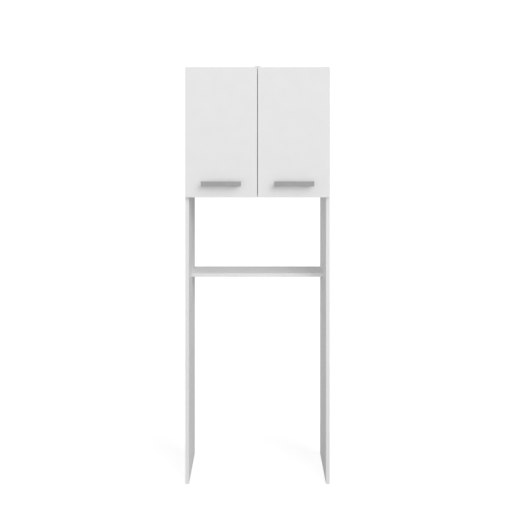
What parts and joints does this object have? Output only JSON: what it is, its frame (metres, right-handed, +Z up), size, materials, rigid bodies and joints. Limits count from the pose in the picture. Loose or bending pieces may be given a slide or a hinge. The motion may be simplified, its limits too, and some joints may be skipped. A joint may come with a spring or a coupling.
{
  "type": "over the toilet storage rack",
  "caption": "Tall bathroom rack that stands over a toilet: closed cabinet with hinged doors on top, shallow open shelf below, open bay between full height side boards.",
  "frame": {"origin": "on the floor, at the centre of the closed rack's bounding box", "axes": "+Z up, -Y is the front with the doors and handles, +X to the right seen from the front"},
  "size_m": [0.601, 0.2816, 1.763],
  "materials": {
    "white_board": "chipboard faced with matt white melamine",
    "edging_strip": "matt white ABS edging strip",
    "back_board": "thin hardboard, white inside and brown behind",
    "white_plastic": "moulded white plastic",
    "handle_metal": "satin grey metal",
    "zinc": "zinc plated, dull",
    "beech": "turned beech",
    "magnet": "dark sintered magnet between steel poles",
    "buffer_rubber": "clear soft plastic",
    "white_steel": "white powder coated steel",
    "hinge_steel": "nickel plated steel"
  },
  "bodies": {
    "root": {"left_side": "white_board", "right_side": "white_board", "side_edging": "edging_strip", "cabinet_top": "white_board", "cabinet_bottom": "white_board", "inner_shelf": "white_board", "open_shelf": "white_board", "shelf_edging": "edging_strip", "back_panel": "back_board", "back_panel_nails": "zinc", "cam_locks": "zinc", "cam_bolts": "hinge_steel", "cam_caps": "white_plastic", "wooden_dowels": "beech", "shelf_pins": "hinge_steel", "floor_glides": "white_plastic", "glide_nails": "zinc", "wall_bracket": "white_steel", "bracket_screws": "hinge_steel", "magnetic_catch": "white_plastic", "catch_magnets": "magnet", "catch_screws": "hinge_steel", "left_cabinet_leaves": "hinge_steel", "left_hinge_pins": "hinge_steel", "left_cabinet_leaf_screws": "hinge_steel", "right_cabinet_leaves": "hinge_steel", "right_hinge_pins": "hinge_steel", "right_cabinet_leaf_screws": "hinge_steel"},
    "left_door": {"left_door": "white_board", "left_door_edging": "edging_strip", "left_handle": "handle_metal", "left_handle_screws": "hinge_steel", "left_door_leaves": "hinge_steel", "left_door_leaf_screws": "hinge_steel", "left_door_buffer": "buffer_rubber", "left_strike_plate": "hinge_steel", "left_strike_screw": "hinge_steel"},
    "right_door": {"right_door": "white_board", "right_door_edging": "edging_strip", "right_handle": "handle_metal", "right_handle_screws": "hinge_steel", "right_door_leaves": "hinge_steel", "right_door_leaf_screws": "hinge_steel", "right_door_buffer": "buffer_rubber", "right_strike_plate": "hinge_steel", "right_strike_screw": "hinge_steel"}
  },
  "joints": [
    {"name": "left_door_swing", "type": "hinge", "parent": "root", "child": "left_door", "pos_m": [-0.2985, -0.0985, 1.466], "axis": [0, 0, -1], "range_deg": [0, 115]},
    {"name": "right_door_swing", "type": "hinge", "parent": "root", "child": "right_door", "pos_m": [0.2985, -0.0985, 1.466], "axis": [0, 0, 1], "range_deg": [0, 115]}
  ]
}
